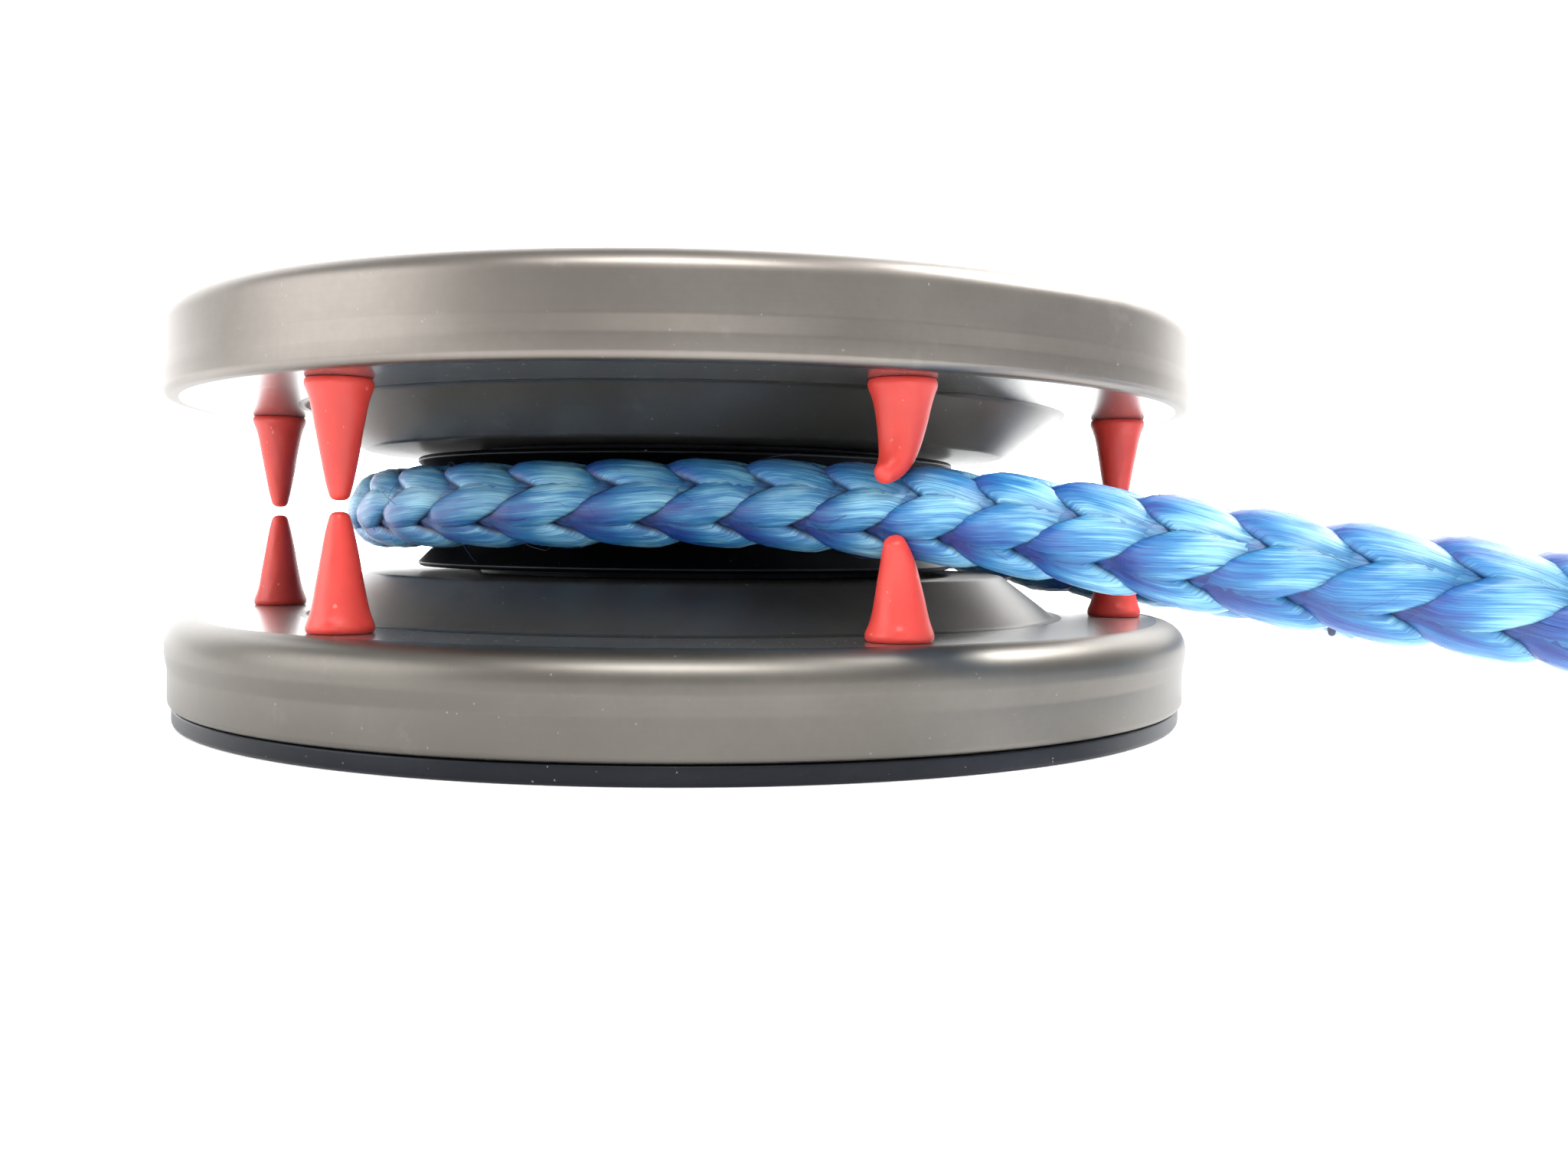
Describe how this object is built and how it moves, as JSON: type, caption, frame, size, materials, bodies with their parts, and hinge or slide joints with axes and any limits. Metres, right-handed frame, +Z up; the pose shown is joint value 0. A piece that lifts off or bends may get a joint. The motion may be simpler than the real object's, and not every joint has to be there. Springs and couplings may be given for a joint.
{
  "type": "sailboat winch",
  "caption": "Low flat sailboat winch: a geared V sheave turns between two round flanges whose soft keepers hold a blue braided line in the groove.",
  "frame": {"origin": "centre of the base plate's underside", "axes": "+Z up along the spindle, out of the handle socket; -Y towards the side where the line crosses the front and leaves to the right"},
  "size_m": [0.3144, 0.1648, 0.0527],
  "materials": {
    "flange_grey": "dark grey hard anodised, satin",
    "anodised_black": "black anodised, satin",
    "keeper_red": "coral red moulded elastomer, satin",
    "line_blue": "blue single-braid fibre, satin",
    "stainless": "machined stainless steel",
    "bronze": "machined aluminium bronze",
    "acetal": "natural acetal, matte"
  },
  "bodies": {
    "housing": {"base_plate": "anodised_black", "cover_screw_1": "stainless", "cover_screw_2": "stainless", "cover_screw_3": "stainless", "flange_screw_1": "stainless", "flange_screw_2": "stainless", "flange_screw_3": "stainless", "line": "line_blue", "line_coil": "line_blue", "lower_bearing": "acetal", "lower_flange": "flange_grey", "lower_guide_cone": "flange_grey", "lower_keeper_1": "keeper_red", "lower_keeper_2": "keeper_red", "lower_keeper_3": "keeper_red", "lower_keeper_4": "keeper_red", "lower_keeper_5": "keeper_red", "lower_keeper_6": "keeper_red", "lower_thrust_washer": "acetal", "pawl_pin_1": "stainless", "pawl_pin_2": "stainless", "pawl_spring_1": "stainless", "pawl_spring_2": "stainless", "pinion_pin_1": "stainless", "pinion_pin_2": "stainless", "pinion_pin_3": "stainless", "spindle_circlip": "stainless", "spindle_lower_bush": "acetal", "spindle_washer": "acetal", "stem": "stainless", "stem_screw_1": "stainless", "stem_screw_2": "stainless", "stem_screw_3": "stainless", "top_cover": "flange_grey", "top_nut": "stainless", "upper_bearing": "acetal", "upper_flange": "flange_grey", "upper_guide_cone": "flange_grey", "upper_keeper_1": "keeper_red", "upper_keeper_2": "keeper_red", "upper_keeper_3": "keeper_red", "upper_keeper_4": "keeper_red", "upper_keeper_5": "keeper_red", "upper_keeper_6": "keeper_red", "upper_thrust_washer": "acetal"},
    "sheave": {"lower_cheek": "anodised_black", "upper_cheek": "anodised_black", "ring_gear": "bronze", "sheave_screw_1": "stainless", "sheave_screw_2": "stainless", "sheave_screw_3": "stainless"},
    "spindle": {"spindle": "stainless", "sun_gear": "bronze"},
    "pinion_a": {"pinion_1": "bronze"},
    "pinion_b": {"pinion_2": "bronze"},
    "pinion_c": {"pinion_3": "bronze"},
    "pawl_a": {"pawl_1": "bronze"},
    "pawl_b": {"pawl_2": "bronze"}
  },
  "joints": [
    {"name": "sheave_turn", "type": "hinge", "parent": "housing", "child": "sheave", "pos_m": [0, 0, 0.0275], "axis": [0, 0, 1], "continuous": true},
    {"name": "spindle_turn", "type": "hinge", "parent": "housing", "child": "spindle", "pos_m": [0, 0, 0.0275], "axis": [0, 0, 1], "continuous": true},
    {"name": "pinion_a_turn", "type": "hinge", "parent": "housing", "child": "pinion_a", "pos_m": [0, 0.015, 0], "axis": [0, 0, 1], "continuous": true},
    {"name": "pinion_b_turn", "type": "hinge", "parent": "housing", "child": "pinion_b", "pos_m": [-0.01299, -0.0075, 0], "axis": [0, 0, 1], "continuous": true},
    {"name": "pinion_c_turn", "type": "hinge", "parent": "housing", "child": "pinion_c", "pos_m": [0.01299, -0.0075, 0], "axis": [0, 0, 1], "continuous": true},
    {"name": "pawl_a_lift", "type": "hinge", "parent": "housing", "child": "pawl_a", "pos_m": [0.03347, -0.00293, 0], "axis": [0, 0, 1], "range_deg": [-6, 0], "stiffness_Nm_per_rad": 0.02, "springref_deg": 8.59, "deforming": ["pawl_spring_1"]},
    {"name": "pawl_b_lift", "type": "hinge", "parent": "housing", "child": "pawl_b", "pos_m": [-0.03347, 0.00293, 0], "axis": [0, 0, 1], "range_deg": [-6, 0], "stiffness_Nm_per_rad": 0.02, "springref_deg": 8.59, "deforming": ["pawl_spring_2"]}
  ],
  "couplings": [
    {"joint": "spindle_turn", "follows": "sheave_turn", "ratio": -2.3333},
    {"joint": "pinion_a_turn", "follows": "sheave_turn", "ratio": 3.5},
    {"joint": "pinion_b_turn", "follows": "sheave_turn", "ratio": 3.5},
    {"joint": "pinion_c_turn", "follows": "sheave_turn", "ratio": 3.5}
  ]
}
